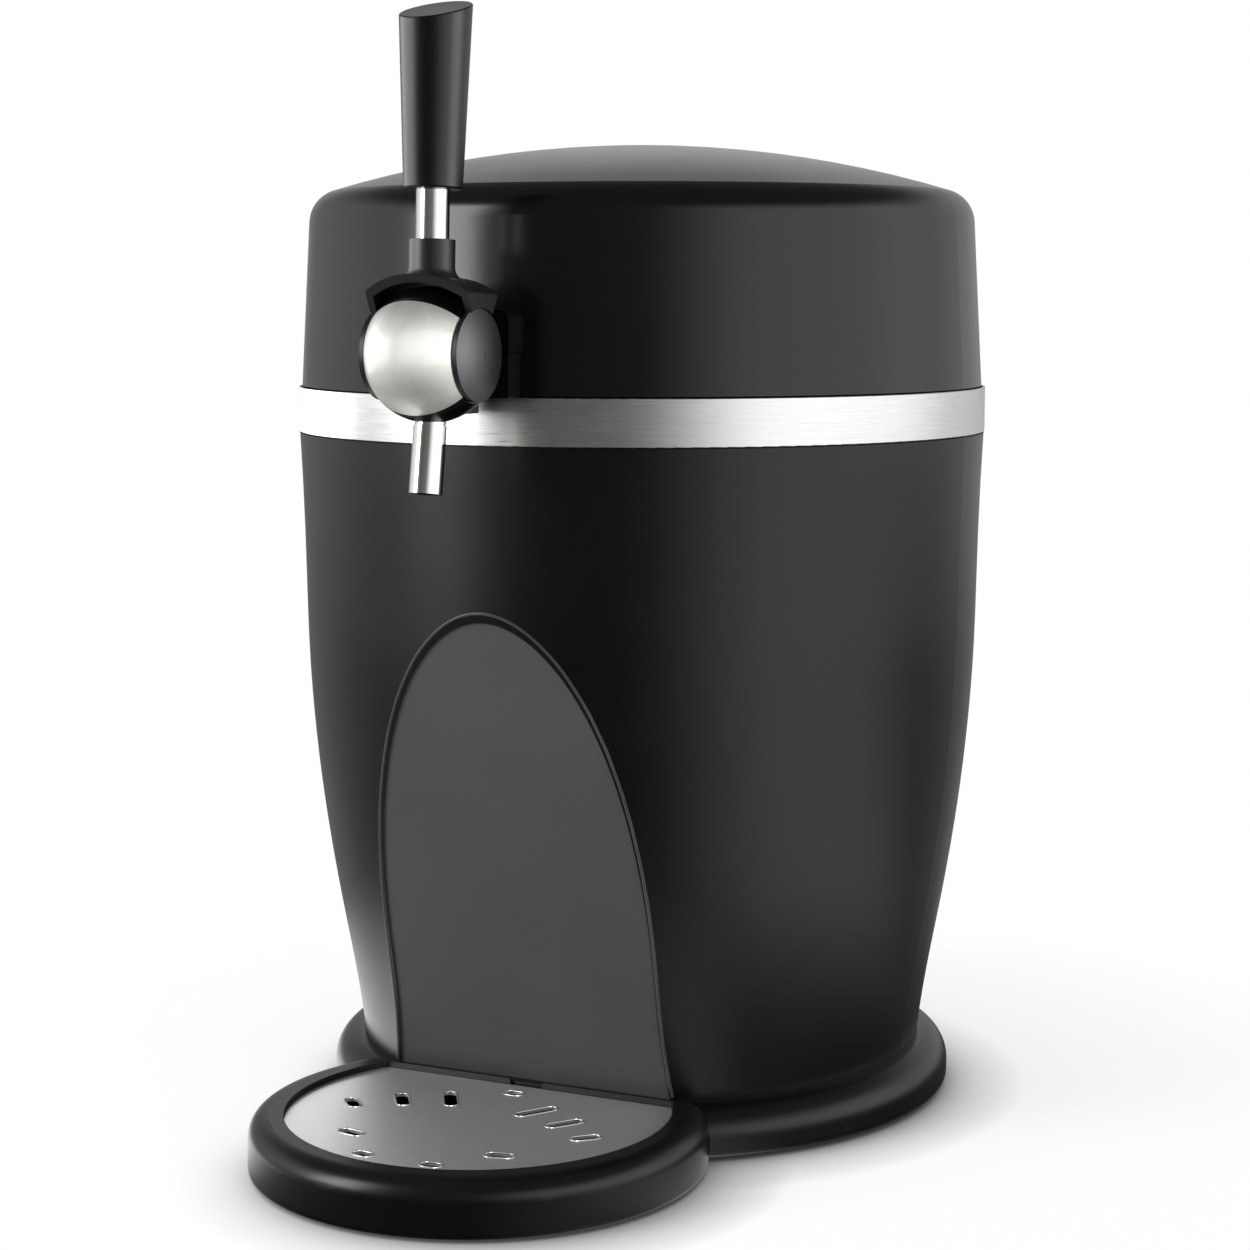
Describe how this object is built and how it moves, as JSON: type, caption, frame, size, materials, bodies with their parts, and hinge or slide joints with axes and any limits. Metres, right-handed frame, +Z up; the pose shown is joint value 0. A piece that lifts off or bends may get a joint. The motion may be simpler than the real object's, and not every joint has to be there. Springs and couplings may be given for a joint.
{
  "type": "mini keg beer dispenser",
  "caption": "Countertop mini keg cooler and dispenser with a hinged domed lid, lever tap, cooled round well, steel band and removable drip tray.",
  "frame": {"origin": "on the table, under the middle of the overall size", "axes": "+Z up, the tap at the front towards -Y, the hinge at the rear towards +Y, +X to the right seen from the front"},
  "size_m": [0.28, 0.3788, 0.4291],
  "materials": {
    "satin_black": "satin injection-moulded black",
    "panel_black": "fine-textured dark grey moulding",
    "gloss_black": "glossy black moulding",
    "band_steel": "brushed round its length",
    "chrome": "polished plating",
    "plate_steel": "pressed stainless sheet",
    "rubber_black": "soft moulded rubber",
    "silicone_grey": "silicone",
    "liner_alu": "spun aluminium",
    "sink_alu": "extruded aluminium",
    "foam": "rigid polyurethane foam",
    "liner_grey": "grey moulding",
    "collar_black": "fine matte moulding",
    "zinc_steel": "black coated steel",
    "steel": "machined stainless steel",
    "brass": "nickel-free brass",
    "board_green": "solder-masked laminate",
    "component_black": "moulded components",
    "ceramic": "alumina faces",
    "beer_hose": "clear food-grade hose"
  },
  "bodies": {
    "housing": {"base_pan": "satin_black", "rubber_feet": "rubber_black", "base_screws": "zinc_steel", "outer_shell": "satin_black", "recess_panel": "panel_black", "keg_liner": "liner_alu", "insulation_jacket": "foam", "temperature_probe": "steel", "upper_collar": "collar_black", "lid_gasket": "silicone_grey", "trim_band": "band_steel", "hinge_bracket": "zinc_steel", "bracket_screws": "zinc_steel", "hinge_pin": "steel", "chrome_shell": "chrome", "tap_core": "gloss_black", "spout_tube": "chrome", "tap_saddle_lower": "satin_black", "tap_shank": "steel", "shank_nut": "brass", "valve_spring": "steel", "shank_elbow": "collar_black", "beer_line": "beer_hose", "line_clips": "collar_black", "keg_coupler": "collar_black", "fan_frame": "component_black", "heat_sink": "sink_alu", "peltier_module": "ceramic", "cold_plate": "sink_alu", "control_board": "board_green", "board_parts": "component_black", "board_screws": "zinc_steel", "service_panel": "satin_black", "inlet_socket": "component_black", "inlet_pins": "brass", "switch_housing": "component_black"},
    "lid": {"lid_shell": "gloss_black", "lid_liner": "liner_grey", "lid_insulation": "foam", "lid_hinge_leaf": "satin_black", "leaf_screws": "zinc_steel", "tap_saddle_upper": "satin_black"},
    "lever": {"lever_yoke": "satin_black", "hub_caps": "gloss_black", "pivot_pin": "steel", "lever_rod": "chrome", "lever_handle": "satin_black"},
    "plunger": {"valve_plunger": "steel", "valve_seal": "silicone_grey"},
    "tray": {"drip_tray": "satin_black", "tray_pads": "rubber_black"},
    "grid": {"drip_plate": "plate_steel"},
    "rotor": {"fan_rotor": "component_black"},
    "rocker": {"switch_rocker": "gloss_black"}
  },
  "joints": [
    {"name": "lid_hinge", "type": "hinge", "parent": "housing", "child": "lid", "pos_m": [0, 0.1849, 0.293], "axis": [-1, 0, 0], "range_deg": [0, 80]},
    {"name": "lever_pull", "type": "hinge", "parent": "housing", "child": "lever", "pos_m": [0, -0.1341, 0.305], "axis": [1, 0, 0], "range_deg": [0, 45], "stiffness_Nm_per_rad": 0.4},
    {"name": "valve_push", "type": "slide", "parent": "housing", "child": "plunger", "axis": [0, 1, 0], "range_m": [0, 0.0056], "deforming": ["valve_spring"]},
    {"name": "tray_slide", "type": "slide", "parent": "housing", "child": "tray", "axis": [0, -1, 0], "range_m": [0, 0.06]},
    {"name": "plate_lift", "type": "slide", "parent": "tray", "child": "grid", "axis": [0, 0, 1], "range_m": [0, 0.025]},
    {"name": "fan_spin", "type": "hinge", "parent": "housing", "child": "rotor", "pos_m": [0, 0.0389, 0.0165], "axis": [0, 0, 1], "continuous": true},
    {"name": "switch_rock", "type": "hinge", "parent": "housing", "child": "rocker", "pos_m": [0.017, 0.1459, 0.039], "axis": [-1, 0, 0], "range_deg": [0, 16]}
  ],
  "couplings": [
    {"joint": "valve_push", "follows": "lever_pull", "m_per_rad": 0.007}
  ]
}
